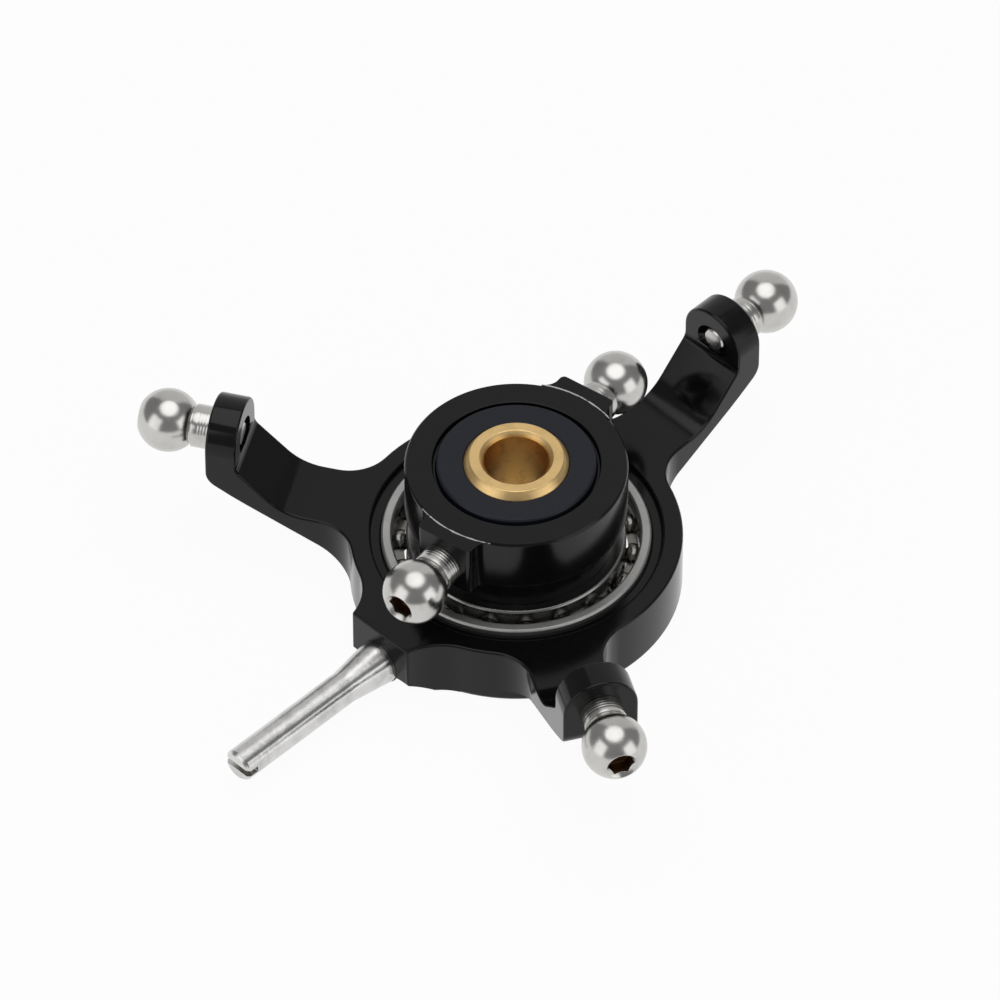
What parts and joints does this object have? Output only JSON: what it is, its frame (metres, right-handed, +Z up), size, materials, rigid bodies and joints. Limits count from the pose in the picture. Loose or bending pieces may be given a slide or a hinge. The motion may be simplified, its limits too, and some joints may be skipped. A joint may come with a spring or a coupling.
{
  "type": "helicopter swashplate",
  "caption": "Three-arm swashplate with a ball bearing, a tilting mast ball, ball studs and an anti-rotation pin.",
  "frame": {"origin": "centre of the mast ball", "axes": "+Z up along the rotor mast, anti-rotation pin towards -Y, elevator arm towards +Y"},
  "size_m": [0.0534, 0.0605, 0.0138],
  "materials": {
    "black_anodised": "satin black anodised",
    "polished_steel": "polished",
    "bearing_steel": "ground",
    "cage_steel": "pressed",
    "dark_seat": "smooth bluish black",
    "brass": "turned"
  },
  "bodies": {
    "stationary_ring": {"swash_ring": "black_anodised", "bearing_outer_race": "bearing_steel", "elevator_link_ball": "polished_steel", "left_servo_link_ball": "polished_steel", "right_servo_link_ball": "polished_steel", "anti_rotation_pin": "polished_steel"},
    "rotating_hub": {"rotor_hub": "black_anodised", "bearing_inner_race": "bearing_steel", "hub_snap_ring": "cage_steel", "ball_seat_upper": "dark_seat", "ball_seat_lower": "dark_seat", "rotor_link_ball_1": "polished_steel", "rotor_link_ball_2": "polished_steel"},
    "bearing_cage": {"bearing_cage_upper": "cage_steel", "bearing_cage_lower": "cage_steel", "bearing_ball_01": "bearing_steel", "bearing_ball_02": "bearing_steel", "bearing_ball_03": "bearing_steel", "bearing_ball_04": "bearing_steel", "bearing_ball_05": "bearing_steel", "bearing_ball_06": "bearing_steel", "bearing_ball_07": "bearing_steel", "bearing_ball_08": "bearing_steel", "bearing_ball_09": "bearing_steel", "bearing_ball_10": "bearing_steel", "bearing_ball_11": "bearing_steel", "bearing_ball_12": "bearing_steel", "bearing_ball_13": "bearing_steel", "bearing_ball_14": "bearing_steel", "bearing_ball_15": "bearing_steel", "bearing_ball_16": "bearing_steel", "bearing_ball_17": "bearing_steel", "bearing_ball_18": "bearing_steel"},
    "mast_ball": {"mast_ball": "brass"}
  },
  "joints": [
    {"name": "hub_spin", "type": "hinge", "parent": "stationary_ring", "child": "rotating_hub", "pos_m": [0, 0, 0], "axis": [0, 0, 1], "continuous": true},
    {"name": "cage_spin", "type": "hinge", "parent": "stationary_ring", "child": "bearing_cage", "pos_m": [0, 0, 0], "axis": [0, 0, 1], "continuous": true},
    {"name": "mast_ball_tilt", "type": "hinge", "parent": "rotating_hub", "child": "mast_ball", "pos_m": [0, 0, 0], "axis": [1, 0, 0], "range_deg": [-15, 15]}
  ],
  "couplings": [
    {"joint": "cage_spin", "follows": "hub_spin", "ratio": 0.45637}
  ]
}
